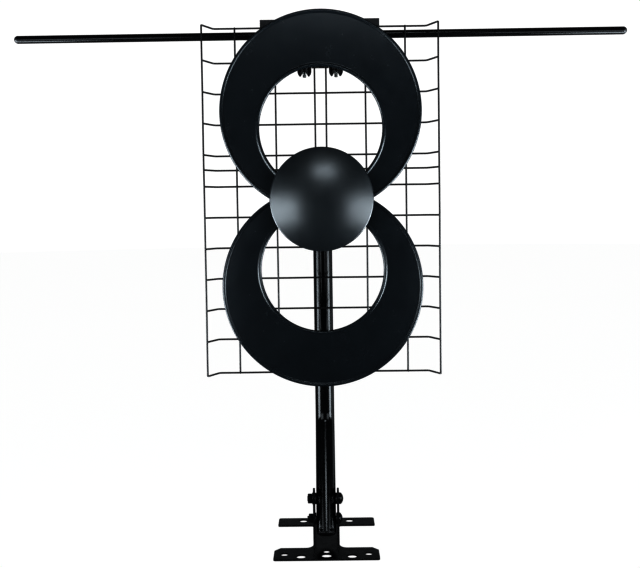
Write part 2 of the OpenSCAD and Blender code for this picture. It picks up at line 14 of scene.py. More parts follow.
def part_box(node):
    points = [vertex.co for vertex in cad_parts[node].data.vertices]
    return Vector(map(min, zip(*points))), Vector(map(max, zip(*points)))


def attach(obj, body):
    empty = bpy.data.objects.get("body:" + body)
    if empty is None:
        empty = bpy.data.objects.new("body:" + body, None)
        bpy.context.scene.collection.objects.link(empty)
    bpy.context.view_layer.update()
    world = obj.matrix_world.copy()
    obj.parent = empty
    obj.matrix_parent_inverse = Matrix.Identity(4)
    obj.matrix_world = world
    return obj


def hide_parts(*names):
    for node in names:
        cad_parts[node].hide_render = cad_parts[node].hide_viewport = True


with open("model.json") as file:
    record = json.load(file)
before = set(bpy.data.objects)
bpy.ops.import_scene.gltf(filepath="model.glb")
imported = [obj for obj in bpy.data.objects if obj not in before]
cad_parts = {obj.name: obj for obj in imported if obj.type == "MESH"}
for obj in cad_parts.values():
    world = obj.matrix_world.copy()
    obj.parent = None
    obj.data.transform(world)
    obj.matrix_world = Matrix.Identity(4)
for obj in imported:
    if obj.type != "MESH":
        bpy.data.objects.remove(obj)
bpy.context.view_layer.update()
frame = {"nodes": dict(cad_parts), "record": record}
NODES = frame["nodes"]
MM = 0.001

# Sizes that the frame's boxes don't give, the same as in the CAD
HOLE_R = 82.2 * MM
HOLE_OFFSET = 94.6 * MM
RING_OFFSET = 117.4 * MM
SHEET_T = 1.2 * MM
DOME_H = 13.5 * MM
MAST_WALL = 1.6 * MM
BEND_Z = 184 * MM
BEND_ANGLE = math.radians(25)
BEND_R = 50 * MM
LEG_LEN = 156 * MM
GRID_FLAT = 155 * MM
WING = Vector((13.4, 24)) * MM
WIRE_R = 1.2 * MM
WIRE_BEND_R = 6 * MM
UPRIGHT_Y = -49 * MM
UPRIGHT_PLACES = (8.2 * MM, 65.7 * MM, 123.9 * MM)
MIDDLE_LOW = 69.5 * MM
WIRE_PITCH = 45 * MM
EXTRA_WIRE = 46.4 * MM


def centre_of(node):
    low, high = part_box(node)
    return (low + high) / 2


# ---------- materials ----------


def add_node(tree, kind, inputs=None, **settings):
    """A node with its settings, and its inputs as values or as sockets to link from."""
    made = tree.nodes.new(kind)
    for key, value in settings.items():
        setattr(made, key, value)
    for key, value in (inputs or {}).items():
        if isinstance(value, bpy.types.NodeSocket):
            tree.links.new(value, made.inputs[key])
        else:
            made.inputs[key].default_value = value
    return made


def noise(tree, place, size, detail=2.0, rough=0.5):
    """Noise whose blotches are about size across, in metres."""
    inputs = {"Vector": place, "Scale": 1 / size, "Detail": detail, "Roughness": rough}
    return add_node(tree, "ShaderNodeTexNoise", inputs).outputs["Fac"]


def ramp(tree, factor, low, high, start=0.3, end=0.7):
    """From low to high, as greys or colours, while the factor goes from start to end."""
    made = add_node(tree, "ShaderNodeValToRGB", {"Fac": factor})
    for element, place, value in zip(made.color_ramp.elements, (start, end), (low, high)):
        element.position = place
        grey = (value,) * 3 if isinstance(value, float) else value
        element.color = (*grey, 1)
    return made.outputs["Color"]


def mix(tree, factor, a, b):
    """The colour a where factor is 0 and b where it is 1."""
    made = add_node(tree, "ShaderNodeMix", data_type="RGBA")
    colours = [s for s in made.inputs if s.type == "RGBA"]
    for socket, value in ((made.inputs["Factor"], factor), (colours[0], a), (colours[1], b)):
        if isinstance(value, bpy.types.NodeSocket):
            tree.links.new(value, socket)
        else:
            socket.default_value = (*value, 1) if isinstance(value, tuple) else value
    return [s for s in made.outputs if s.type == "RGBA"][0]


def edge_mask(tree, place, radius):
    """Bright along outer and inner edges, broken up by noise."""
    soft = add_node(tree, "ShaderNodeBevel", {"Radius": radius}, samples=4).outputs["Normal"]
    flat = add_node(tree, "ShaderNodeNewGeometry").outputs["Normal"]
    dot = add_node(tree, "ShaderNodeVectorMath", {0: soft, 1: flat}, operation="DOT_PRODUCT")
    edge = ramp(tree, dot.outputs["Value"], 1.0, 0.0, 0.9, 0.995)
    patches = ramp(tree, noise(tree, place, 4 * MM, 3.0), 0.0, 1.0, 0.45, 0.6)
    inputs = {0: edge, 1: patches}
    return add_node(tree, "ShaderNodeMath", inputs, operation="MULTIPLY").outputs["Value"]


def material(name, dark, light, rough, grain, bump, patch=30 * MM, metal=0.0, worn=None, spec=0.5):
    """A finish with colour patches, a grained bump, uneven gloss and, where given, worn edges.

    dark and light are its two colours, rough its lowest and highest roughness, grain the
    size of its surface texture and bump that texture's height.
    """
    made = bpy.data.materials.new(name)
    made.use_nodes = True
    tree = made.node_tree
    shader = tree.nodes["Principled BSDF"]
    shader.inputs["Metallic"].default_value = metal
    shader.inputs["Specular IOR Level"].default_value = spec
    place = add_node(tree, "ShaderNodeTexCoord").outputs["Object"]
    colour = ramp(tree, noise(tree, place, patch, 4.0), dark, light)
    if worn:
        colour = mix(tree, edge_mask(tree, place, 0.5 * MM), colour, worn)
    gloss = ramp(tree, noise(tree, place, patch / 3, 5.0, 0.6), rough[0], rough[1])
    height = noise(tree, place, grain, 2.0)
    inputs = {"Height": height, "Strength": 1.0, "Distance": bump}
    surface = add_node(tree, "ShaderNodeBump", inputs)
    tree.links.new(colour, shader.inputs["Base Color"])
    tree.links.new(gloss, shader.inputs["Roughness"])
    tree.links.new(surface.outputs["Normal"], shader.inputs["Normal"])
    return made


def board_material():
    """Green solder mask over a pattern of copper tracks."""
    made = material("board", (0.01, 0.06, 0.03), (0.02, 0.1, 0.05), (0.25, 0.4), 0.5 * MM, 0.01 * MM)
    tree = made.node_tree
    shader = tree.nodes["Principled BSDF"]
    place = tree.nodes["Texture Coordinate"].outputs["Object"]
    turned = add_node(tree, "ShaderNodeMapping", {"Vector": place, "Rotation": (math.pi / 2, 0, 0)})
    inputs = {"Vector": turned.outputs["Vector"], "Scale": 120.0, "Mortar Size": 0.03}
    tracks = add_node(tree, "ShaderNodeTexBrick", inputs).outputs["Fac"]
    below = shader.inputs["Base Color"].links[0].from_socket
    tree.links.new(mix(tree, tracks, below, (0.09, 0.2, 0.08)), shader.inputs["Base Color"])
    return made


FINISHES = {
    "black_steel": material(
        "black_steel", (0.006, 0.006, 0.0065), (0.012, 0.012, 0.013), (0.2, 0.3),
        0.5 * MM, 0.012 * MM, worn=(0.08, 0.08, 0.082),
    ),
    "mast_gloss": material(
        "mast_gloss", (0.005, 0.0052, 0.0058), (0.007, 0.0072, 0.008), (0.12, 0.17),
        1.2 * MM, 0.001 * MM, patch=60 * MM, worn=(0.02, 0.02, 0.022), spec=0.25,
    ),
    "ring_coat": material(
        "ring_coat", (0.0115, 0.0155, 0.019), (0.0145, 0.0195, 0.0235), (0.22, 0.28),
        0.4 * MM, 0.006 * MM, patch=50 * MM, worn=(0.06, 0.068, 0.076),
    ),
    "hub_plastic": material(
        "hub_plastic", (0.013, 0.017, 0.02), (0.0165, 0.021, 0.0245), (0.29, 0.34),
        0.35 * MM, 0.012 * MM, patch=35 * MM, worn=(0.06, 0.066, 0.072), spec=1.0,
    ),
    "black_plastic": material(
        "black_plastic", (0.008, 0.008, 0.009), (0.015, 0.015, 0.016), (0.35, 0.5),
        0.4 * MM, 0.015 * MM, worn=(0.05, 0.05, 0.054),
    ),
    "rubber": material(
        "rubber", (0.01, 0.01, 0.01), (0.018, 0.018, 0.018), (0.7, 0.85),
        0.3 * MM, 0.02 * MM, patch=12 * MM,
    ),
    "wire_black": material(
        "wire_black", (0.004, 0.004, 0.0045), (0.01, 0.01, 0.011), (0.35, 0.5),
        0.6 * MM, 0.015 * MM, patch=15 * MM, worn=(0.03, 0.03, 0.032),
    ),
    "zinc": material(
        "zinc", (0.42, 0.43, 0.44), (0.62, 0.62, 0.58), (0.24, 0.42),
        0.3 * MM, 0.008 * MM, patch=6 * MM, metal=1.0, worn=(0.75, 0.75, 0.74),
    ),
    "brass": material(
        "brass", (0.48, 0.32, 0.11), (0.7, 0.5, 0.2), (0.22, 0.4),
        0.25 * MM, 0.006 * MM, patch=8 * MM, metal=1.0, worn=(0.85, 0.66, 0.32),
    ),
    "board": board_material(),
}
SLOT_OF = {row["node"]: row["material_slot"] for row in frame["record"]["subparts"]}


# ---------- mesh helpers ----------


def facing(origin, axis):
    """A matrix that puts a local Z axis along axis, with its zero at origin."""
    turn = Vector(axis).to_track_quat("Z", "Y").to_matrix().to_4x4()
    return Matrix.Translation(origin) @ turn


def skin(bm, loops, closed_along=False, closed_round=True):
    """Quads between loops of vertices that have equal counts."""
    pairs = list(zip(loops, loops[1:]))
    if closed_along:
        pairs.append((loops[-1], loops[0]))
    for a, b in pairs:
        count = len(a)
        for i in range(count if closed_round else count - 1):
            j = (i + 1) % count
            bm.faces.new((a[i], a[j], b[j], b[i]))


def revolve(bm, profile, matrix, steps=64, closed=False):
    """Turns (radius, height) points about matrix's Z; ends on the axis close to a point."""
    loops, caps = [], []
    for index, (radius, height) in enumerate(profile):
        if radius < 1e-7:
            caps.append((index, bm.verts.new(matrix @ Vector((0, 0, height)))))
            continue
        turns = [2 * math.pi * i / steps for i in range(steps)]
        loops.append([
            bm.verts.new(matrix @ Vector((radius * math.cos(t), radius * math.sin(t), height)))
            for t in turns
        ])
    skin(bm, loops, closed_along=closed)
    for index, tip in caps:
        loop = loops[0] if index == 0 else loops[-1]
        for i in range(steps):
            bm.faces.new((loop[i], loop[(i + 1) % steps], tip))


def arc(centre, radius, start, end, count):
    """Points on an arc in a plane, both ends included, angles in degrees."""
    angles = [math.radians(start + (end - start) * i / count) for i in range(count + 1)]
    return [(centre[0] + radius * math.cos(a), centre[1] + radius * math.sin(a)) for a in angles]


def tube(bm, path, radius, sides=16, rounded=True):
    """A round bar along a list of points, with slightly domed ends."""
    points = [Vector(p) for p in path]
    count = len(points)
    tangents = []
    for i in range(count):
        ahead = points[min(i + 1, count - 1)] - points[max(i - 1, 0)]
        tangents.append(ahead.normalized())
    side = tangents[0].orthogonal().normalized()
    loops = []
    for i, (point, tangent) in enumerate(zip(points, tangents)):
        side = (side - tangent * side.dot(tangent)).normalized()
        other = tangent.cross(side)
        places = [(point, radius)]
        if rounded and i == 0:
            places = [
                (point - tangent * radius * 0.55, radius * 0.5),
                (point - tangent * radius * 0.3, radius * 0.85),
                (point, radius),
            ]
        if rounded and i == count - 1:
            places = [
                (point, radius),
                (point + tangent * radius * 0.3, radius * 0.85),
                (point + tangent * radius * 0.55, radius * 0.5),
            ]
        for centre, r in places:
            turns = [2 * math.pi * k / sides for k in range(sides)]
            loops.append([
                bm.verts.new(centre + r * (math.cos(t) * side + math.sin(t) * other)) for t in turns
            ])
    skin(bm, loops)
    bm.faces.new(reversed(loops[0]))
    bm.faces.new(loops[-1])


def thread(bm, matrix, radius, length, pitch, depth, sides=32):
    """A screw thread along local Z from 0 to length, with tapered ends and flat caps."""
    rows = max(8, round(length / pitch * 8))
    loops = []
    for row in range(rows + 1):
        height = length * row / rows
        taper = min(1, height / pitch, (length - height) / pitch)
        loop = []
        for i in range(sides):
            wave = (height / pitch - i / sides) % 1
            cut = 1 - abs(2 * wave - 1)
            r = radius - depth * max(1 - taper, cut)
            turn = 2 * math.pi * i / sides
            loop.append(bm.verts.new(matrix @ Vector((r * math.cos(turn), r * math.sin(turn), height))))
        loops.append(loop)
    skin(bm, loops)
    bm.faces.new(reversed(loops[0]))
    bm.faces.new(loops[-1])


def hex_nut(bm, matrix, flats, height, bore):
    """A hex nut on local Z from 0 to height, with corners turned off at both faces."""
    steps = 72
    chamfer_r = flats / 2 * 0.97
    lip = 0.08 * flats / 2
    slope = math.tan(math.radians(30))
    rows = []
    for i in range(steps):
        turn = 2 * math.pi * i / steps
        corner = flats / 2 / math.cos((turn + math.pi / 6) % (math.pi / 3) - math.pi / 6)
        drop = (corner - chamfer_r) * slope
        rows.append([
            (bore, lip), (bore + lip, 0), (chamfer_r, 0), (corner, drop),
            (corner, height - drop), (chamfer_r, height), (bore + lip, height), (bore, height - lip),
        ])
    loops = []
    for k in range(len(rows[0])):
        loop = []
        for i in range(steps):
            turn = 2 * math.pi * i / steps
            r, h = rows[i][k]
            loop.append(bm.verts.new(matrix @ Vector((r * math.cos(turn), r * math.sin(turn), h))))
        loops.append(loop)
    skin(bm, loops, closed_along=True)


def piece(name, bm, body, slot_name, replaced=(), sharp=35):
    """Makes the mesh an object that rides on a body and stands for CAD nodes."""
    bmesh.ops.recalc_face_normals(bm, faces=bm.faces)
    mesh = bpy.data.meshes.new(name)
    bm.to_mesh(mesh)
    bm.free()
    mesh.shade_smooth()
    mesh.set_sharp_from_angle(angle=math.radians(sharp))
    made = bpy.data.objects.new(name, mesh)
    bpy.context.scene.collection.objects.link(made)
    mesh.materials.append(FINISHES[slot_name])
    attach(made, body)
    if replaced:
        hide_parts(*replaced)
    return made


# ---------- ring elements ----------

HUB = centre_of("hub_front_cover")
RING_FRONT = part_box("upper_ring")[0].y
RING_R = (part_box("upper_ring")[1].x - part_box("upper_ring")[0].x) / 2
RING_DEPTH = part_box("upper_ring")[1].y - RING_FRONT


def ring_section(half_width):
    """Closed outline of a ring's cross-section as (place across, depth) from its middle.

    Both edges are rolled into a bead; the sheet between them is slightly crowned.
    """
    bead = RING_DEPTH / 2
    front, crown = 1.1 * MM, 0.3 * MM
    back = front + SHEET_T
    start = math.degrees(math.asin((front - bead) / bead))
    end = math.degrees(math.asin((back - bead) / bead)) - 360
    rolled = arc((bead, bead), bead, start, end, 20)
    inner_edge = max(p[0] for p in rolled)
    outer = [(-half_width + u, v) for u, v in rolled]
    inner = [(half_width - u, v) for u, v in reversed(rolled)]
    reach = half_width - inner_edge - 0.6 * MM
    places = [-1, -0.96, -0.5, 0, 0.5, 0.96, 1]
    back_row = [(reach * p, back - crown * (1 - p * p)) for p in places]
    front_row = [(reach * p, front - crown * (1 - p * p)) for p in reversed(places)]
    return outer + back_row + inner + front_row


def ring(name, node, up):
    """One ring: a crescent-wide band swept round the hole, open at the feed."""
    steps = 300
    feed_half = 4 * MM
    cut = 1 * MM
    first = math.asin(feed_half / HOLE_R)
    bm = bmesh.new()
    loops = []
    for i in range(steps + 1):
        turn = first + (2 * math.pi - 2 * first) * i / steps
        across = Vector((math.sin(turn), -math.cos(turn)))
        lean = (HOLE_OFFSET - RING_OFFSET) * across.y
        shift = HOLE_OFFSET - RING_OFFSET
        far = -lean + math.sqrt(lean * lean - shift * shift + RING_R * RING_R)
        if across.y < 0:
            far = min(far, (HOLE_OFFSET - cut) / -across.y)
        middle, half = (HOLE_R + far) / 2, (far - HOLE_R) / 2
        loop = []
        for place, depth in ring_section(half):
            reach = middle - place
            x, z = across.x * reach, HOLE_OFFSET + across.y * reach
            loop.append(bm.verts.new((HUB.x + x, RING_FRONT + depth, HUB.z + up * z)))
        loops.append(loop)
    skin(bm, loops)
    bm.faces.new(loops[0])
    bm.faces.new(reversed(loops[-1]))
    return piece(name, bm, "head", "ring_coat", [node], sharp=50)


ring("upper_ring_sheet", "upper_ring", 1)
ring("lower_ring_sheet", "lower_ring", -1)


# ---------- hub ----------


def hub_dome():
    """The domed cover: a shallow cap, a soft corner, a short wall and its hollow back."""
    low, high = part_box("hub_front_cover")
    radius = (high.x - low.x) / 2
    wall = 2.4 * MM
    corner = 2.2 * MM
    clearance = 0.1 * MM
    rim = RING_FRONT - clearance - low.y
    dome_r = (radius**2 + DOME_H**2) / (2 * DOME_H)
    tilt = math.asin((radius - corner) / (dome_r - corner))
    corner_h = dome_r - math.sqrt((dome_r - corner) ** 2 - (radius - corner) ** 2)
    outside = [
        (dome_r * math.sin(tilt * i / 40), dome_r * (1 - math.cos(tilt * i / 40)))
        for i in range(40)
    ]
    outside += arc((radius - corner, corner_h), corner, math.degrees(tilt) - 90, 0, 10)
    lip = 0.4 * MM
    outside += [(radius, rim - lip), (radius - lip, rim)]
    outside += [(radius - wall + lip, rim), (radius - wall, rim - lip)]
    inner_r = dome_r - wall
    inner_tilt = math.asin((radius - wall) / inner_r)
    inside = [
        (inner_r * math.sin(inner_tilt * i / 20), dome_r - inner_r * math.cos(inner_tilt * i / 20))
        for i in range(20, -1, -1)
    ]
    bm = bmesh.new()
    revolve(bm, outside + inside, facing((HUB.x, low.y, HUB.z), (0, 1, 0)), steps=180)
    return piece("hub_dome", bm, "head", "hub_plastic", ["hub_front_cover"], sharp=50)


hub_dome()


# ---------- mast ----------


def mast_path():
    """Centre points and directions of the mast, from its top end to the end of its leg."""
    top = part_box("mast_tube")[1].z
    places = [Vector((0, 0, top - (top - BEND_Z) * i / 14)) for i in range(14)]
    down = [Vector((0, 0, -1))] * 14
    for i in range(25):
        a = BEND_ANGLE * i / 24
        places.append(Vector((0, -BEND_R * (1 - math.cos(a)), BEND_Z - BEND_R * math.sin(a))))
        down.append(Vector((0, -math.sin(a), -math.cos(a))))
    start, along = places[-1], down[-1]
    coarse = [LEG_LEN * 0.88 * i / 12 for i in range(1, 13)]
    fine = [LEG_LEN * (0.88 + 0.12 * i / 28) for i in range(1, 29)]
    for distance in coarse + fine:
        places.append(start + along * distance)
        down.append(along)
    return places, down


def mast_rows(places, down, radius):
    """Down the tube's outside and up its inside, as (centre, direction, radius) of each loop."""
    lip = 0.4 * MM
    bore = radius - MAST_WALL
    top, end = places[0], places[-1]
    rows = [(top + down[0] * lip, down[0], bore), (top, down[0], bore + lip)]
    rows += [(top, down[0], radius - lip), (top + down[0] * lip, down[0], radius)]
    rows += [(p, d, radius) for p, d in zip(places[1:-1], down[1:-1])]
    rows += [(end - down[-1] * lip, down[-1], radius), (end, down[-1], radius - lip)]
    rows += [(end, down[-1], bore + lip)]
    rows += [(p, d, bore) for p, d in zip(places[-2:0:-1], down[-2:0:-1])]
    return rows


def dent(turn, from_end, radius):
    """How far the two dents near the tube's end push its wall in at a point."""
    dent_from_end, dent_r, dent_depth = 4.2 * MM, 2.4 * MM, 0.8 * MM
    sunk = 0
    for middle in (math.radians(-32), math.radians(32)):
        off = (turn - middle + math.pi) % (2 * math.pi) - math.pi
        gap = math.hypot(off * radius, from_end - dent_from_end)
        sunk += dent_depth * math.exp(-((gap / dent_r) ** 4))
    return sunk


def mast():
    """The bent tube, with its wall, softened ends and the two dents that hold the plug."""
    low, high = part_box("mast_tube")
    radius = (high.x - low.x) / 2
    sides = 128
    places, down = mast_path()
    bm = bmesh.new()
    loops = []
    for place, direction, r in mast_rows(places, down, radius):
        front = Vector((0, direction.z, -direction.y))
        from_end = (places[-1] - place).dot(direction)
        loop = []
        for i in range(sides):
            turn = 2 * math.pi * i / sides
            out = math.cos(turn) * front + math.sin(turn) * Vector((1, 0, 0))
            loop.append(bm.verts.new(place + out * (r - dent(turn, from_end, radius))))
        loops.append(loop)
    skin(bm, loops, closed_along=True)
    return piece("mast_pipe", bm, "mast", "mast_gloss", ["mast_tube"], sharp=50)


def end_plug():
    """The plug in the mast's open end: a low dome with a soft shoulder and a stem inside."""
    places, down = mast_path()
    low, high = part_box("mast_tube")
    radius = (high.x - low.x) / 2
    clearance = 0.05 * MM
    stem_r, stem_len, stem_lip = radius - MAST_WALL - clearance, 13.5 * MM, 0.5 * MM
    lip, dome_h, fullness = 0.3 * MM, 6 * MM, 0.8
    turns = [math.pi / 48 * i for i in range(22, 0, -1)]
    profile = [(0, -stem_len), (stem_r - stem_lip, -stem_len), (stem_r, stem_lip - stem_len)]
    profile += [(stem_r, 0), (radius - lip, 0), (radius, lip)]
    profile += [(radius * math.sin(t), dome_h * math.cos(t) ** fullness) for t in turns]
    profile += [(0, dome_h)]
    bm = bmesh.new()
    revolve(bm, profile, facing(places[-1] + down[-1] * clearance, down[-1]), steps=96)
    return piece("mast_end_dome", bm, "mast", "black_plastic", ["mast_end_plug"], sharp=50)


mast()
end_plug()


# ---------- reflector ----------


WIRE_SWAY = 0.12 * MM
WELD = [(r * MM, h * MM) for r, h in ((0, -0.9), (0.8, -0.6), (1.15, 0), (0.8, 0.6), (0, 0.9))]
FLAT_UPRIGHTS = [(side * x, UPRIGHT_Y) for x in UPRIGHT_PLACES for side in (-1, 1)]


def sway(place, seed, size):
    """A small smooth wander, so that long wires aren't ruler straight."""
    return size * (math.sin(place * 19 + seed * 2.1) + 0.5 * math.sin(place * 43 + seed * 5.3))


def cross_wire_path(y, z, seed):
    """Points of one cross wire: straight middle, a bend at each end and a wing."""
    angle = math.atan2(WING.y, WING.x)
    tangent = WIRE_BEND_R * math.tan(angle / 2)
    bend_start = GRID_FLAT - tangent
    places = [bend_start * i / 12 for i in range(13)]
    half = [Vector((x, y, z + sway(x, seed, WIRE_SWAY))) for x in places]
    flat_z = half[-1].z
    for i in range(1, 9):
        a = angle * i / 8
        x = bend_start + WIRE_BEND_R * math.sin(a)
        half.append(Vector((x, y - WIRE_BEND_R * (1 - math.cos(a)), flat_z)))
    bend_end = half[-1]
    wing_len = (WING.length - tangent) * 0.985
    direction = Vector((math.cos(angle), -math.sin(angle), 0))
    droop = sway(0.3, seed, 0.25 * MM)
    for i in range(1, 4):
        half.append(bend_end + direction * (wing_len * i / 3) + Vector((0, 0, droop * i / 3)))
    left = [Vector((-p.x, p.y, p.z)) for p in reversed(half[1:])]
    return left + half


def is_short(x, row):
    """Whether an upright at x is one of the middle pair, which ends above this row."""
    return abs(x) == UPRIGHT_PLACES[0] and row < -MIDDLE_LOW


def cross_wires(middle_z):
    """All cross wires, with a weld nugget wherever one meets an upright wire."""
    low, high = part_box("reflector_cross_wires")
    cross_y = high.y - WIRE_R
    half_height = (high.z - low.z) / 2 - WIRE_R
    steps = [WIRE_PITCH * (i + 0.5) for i in range(5)]
    rows = [half_height, -half_height, EXTRA_WIRE] + steps + [-s for s in steps]
    bm = bmesh.new()
    for index, row in enumerate(rows):
        tube(bm, cross_wire_path(cross_y, middle_z + row, index), WIRE_R)
    for row in rows:
        for x, y in FLAT_UPRIGHTS:
            if not is_short(x, row):
                nugget = facing((x, (y + cross_y) / 2, middle_z + row), (0, 1, 0))
                revolve(bm, WELD, nugget, 10)
    return piece("reflector_cross_set", bm, "head", "wire_black", ["reflector_cross_wires"])


def upright_wires(middle_z):
    """All upright wires: the six on the flat part and one along each wing's edge."""
    low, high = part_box("reflector_upright_wires")
    edge_x, edge_y = high.x - WIRE_R, low.y + WIRE_R
    end = 0.7 * MM
    bm = bmesh.new()
    for index, (x, y) in enumerate(FLAT_UPRIGHTS + [(edge_x, edge_y), (-edge_x, edge_y)]):
        bottom = middle_z - MIDDLE_LOW if is_short(x, low.z - middle_z) else low.z
        span = high.z - bottom - 2 * end
        heights = [bottom + end + span * i / 30 for i in range(31)]
        path = [Vector((x + sway(h, index + 20, WIRE_SWAY), y, h)) for h in heights]
        tube(bm, path, WIRE_R)
    return piece("reflector_upright_set", bm, "head", "wire_black", ["reflector_upright_wires"])


grid_middle = centre_of("reflector_cross_wires").z
cross_wires(grid_middle)
upright_wires(grid_middle)


# ---------- bolts and nuts of the foot ----------


def cross_bolt(name, node, body):
    """A round-headed bolt lying along X: dome at the right, threaded end at the left."""
    low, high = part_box(node)
    place = (low + high) / 2
    shank_r, head_r, head_h = 3.95 * MM, (high.z - low.z) / 2, 4.9 * MM
    thread_len = 11 * MM
    head_x = high.x - head_h
    rise = head_h * 0.8
    dome_r = (head_r**2 + rise**2) / (2 * rise)
    profile = [(shank_r * 0.9, low.x + thread_len - 0.4 * MM), (shank_r, low.x + thread_len + 0.2 * MM)]
    profile += [(shank_r, head_x - 0.3 * MM), (shank_r + 0.3 * MM, head_x), (head_r - 0.4 * MM, head_x)]
    profile += [(head_r, head_x + 0.3 * MM), (head_r, head_x + head_h - rise)]
    top = math.asin(min(1, head_r / dome_r))
    for i in range(11):
        a = top * (1 - i / 12)
        profile.append((dome_r * math.sin(a), high.x - dome_r * (1 - math.cos(a))))
    profile.append((0, high.x))
    bm = bmesh.new()
    along = facing((0, place.y, place.z), (1, 0, 0))
    revolve(bm, [(0, profile[0][1])] + profile, along, 64)
    thread(bm, facing((low.x, place.y, place.z), (1, 0, 0)), shank_r, thread_len, 1.3 * MM, 0.5 * MM)
    return piece(name, bm, body, "black_steel", [node])


def cross_nut(name, node, body):
    """The hex nut on a cross bolt's left end."""
    low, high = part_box(node)
    bm = bmesh.new()
    start = (low.x, (low.y + high.y) / 2, (low.z + high.z) / 2)
    hex_nut(bm, facing(start, (1, 0, 0)), 12.7 * MM, high.x - low.x, 4 * MM)
    return piece(name, bm, body, "black_steel", [node])


cross_bolt("pivot_bolt_turned", "pivot_bolt", "foot")
cross_bolt("lock_bolt_turned", "lock_bolt", "mast")
cross_nut("pivot_hex_nut", "pivot_nut", "foot")
cross_nut("lock_hex_nut", "lock_nut", "mast")


# ---------- mast clamp ----------


def u_bolts():
    """Two U-bolts round the mast, threaded where their nuts sit, with nuts and washers."""
    low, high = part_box("u_bolts")
    rod_r = 3 * MM
    leg_x = high.x - rod_r
    thread_len = 16 * MM
    levels = (low.z + rod_r, high.z - rod_r)
    nut_low, nut_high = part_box("u_bolt_nuts")
    washer_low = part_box("u_bolt_washers")[0]
    bore, washer_r, washer_t, lip = 3.05 * MM, 6.4 * MM, 1.2 * MM, 0.1 * MM
    edge = lip * 1.5
    washer = [(bore, 0), (washer_r - lip, 0), (washer_r, edge), (washer_r, washer_t - edge)]
    washer += [(washer_r - lip, washer_t), (bore, washer_t)]
    rods, nuts, washers = bmesh.new(), bmesh.new(), bmesh.new()
    for z in levels:
        bow = [Vector((x, y, z)) for x, y in arc((0, 0), leg_x, 0, 180, 40)]
        leg_end = low.y + thread_len
        path = [Vector((leg_x, leg_end, z))] + bow + [Vector((-leg_x, leg_end, z))]
        tube(rods, path, rod_r, 24, rounded=False)
        for x in (-leg_x, leg_x):
            start = facing((x, low.y, z), (0, 1, 0))
            thread(rods, start, rod_r, thread_len + 0.2 * MM, 1 * MM, 0.4 * MM, 24)
            nut_place = facing((x, nut_low.y, z), (0, 1, 0))
            hex_nut(nuts, nut_place, 10 * MM, nut_high.y - nut_low.y, bore)
            washer_place = facing((x, washer_low.y, z), (0, 1, 0))
            revolve(washers, washer, washer_place, 48, closed=True)
    piece("u_bolt_rods", rods, "head", "zinc", ["u_bolts"])
    piece("u_bolt_hex_nuts", nuts, "head", "zinc", ["u_bolt_nuts"])
    piece("u_bolt_flat_washers", washers, "head", "zinc", ["u_bolt_washers"])


u_bolts()


# ---------- coaxial sockets ----------


def coax_sockets(name, node, places, axis, barrel):
    """Threaded barrels on a hex flange with a thin neck and a contact hole."""
    flange, contact_r, face_r, depth, lip = 2.1 * MM, 1.2 * MM, 4.2 * MM, 3 * MM, 0.3 * MM
    bm = bmesh.new()
    for place in places:
        foot = facing(place, axis)
        hex_nut(bm, foot, 11 * MM, flange, 3.6 * MM)
        start = foot @ Matrix.Translation((0, 0, 2 * MM))
        thread(bm, start, 4.75 * MM, barrel - 0.4 * MM, 0.8 * MM, 0.35 * MM, 40)
        tip = barrel + flange
        face = [(contact_r, tip - depth), (contact_r, tip), (face_r - lip, tip)]
        face += [(face_r, tip - lip), (face_r, tip - depth)]
        revolve(bm, face, foot, 40, closed=True)
        neck = [(0, -8 * MM), (3.2 * MM, -8 * MM), (3.4 * MM, -7.8 * MM), (3.4 * MM, 1 * MM), (0, 1 * MM)]
        revolve(bm, neck, foot, 40)
    return piece(name, bm, "head", "zinc", [node])


hub_socket_low, hub_socket_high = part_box("hub_connector")
hub_socket_mid = (hub_socket_low + hub_socket_high) / 2
coax_sockets(
    "hub_coax_socket", "hub_connector",
    [(0, hub_socket_mid.y, hub_socket_high.z - 8 * MM)], (0, 0, -1), 7 * MM,
)
bracket_low, bracket_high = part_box("bracket_connectors")
socket_x = bracket_high.x - 6.4 * MM
socket_z = (bracket_low.z + bracket_high.z) / 2
coax_sockets(
    "bracket_coax_sockets", "bracket_connectors",
    [(x, bracket_low.y + 8 * MM, socket_z) for x in (-socket_x, socket_x)], (0, 1, 0), 9.6 * MM,
)


# ---------- CAD nodes that stay ----------


def smooth_group():
    """A node group that shades a mesh smooth, for use after a bevel."""
    group = bpy.data.node_groups.new("shade_smooth", "GeometryNodeTree")
    group.interface.new_socket("Geometry", in_out="INPUT", socket_type="NodeSocketGeometry")
    group.interface.new_socket("Geometry", in_out="OUTPUT", socket_type="NodeSocketGeometry")
    start = group.nodes.new("NodeGroupInput")
    end = group.nodes.new("NodeGroupOutput")
    smooth = group.nodes.new("GeometryNodeSetShadeSmooth")
    group.links.new(start.outputs[0], smooth.inputs["Geometry"])
    group.links.new(smooth.outputs["Geometry"], end.inputs[0])
    return group


SMOOTH = smooth_group()


def soften(node, width, angle=38):
    """Rounds a CAD node's edges with modifiers."""
    target = NODES[node]
    weld = target.modifiers.new("weld", "WELD")
    weld.merge_threshold = 1e-6
    bevel = target.modifiers.new("bevel", "BEVEL")
    bevel.width = width
    bevel.segments = 3
    bevel.limit_method = "ANGLE"
    bevel.angle_limit = math.radians(angle)
    bevel.miter_outer = "MITER_ARC"
    shade = target.modifiers.new("shade", "NODES")
    shade.node_group = SMOOTH
    target.modifiers.new("normals", "WEIGHTED_NORMAL")


def cast(node, voxel):
    """Melts a CAD node's edges and inner corners together, as on a moulded part."""
    target = NODES[node]
    remesh = target.modifiers.new("remesh", "REMESH")
    remesh.mode = "VOXEL"
    remesh.voxel_size = voxel
    remesh.use_smooth_shade = True
    relax = target.modifiers.new("relax", "SMOOTH")
    relax.factor = 0.5
    relax.iterations = 6


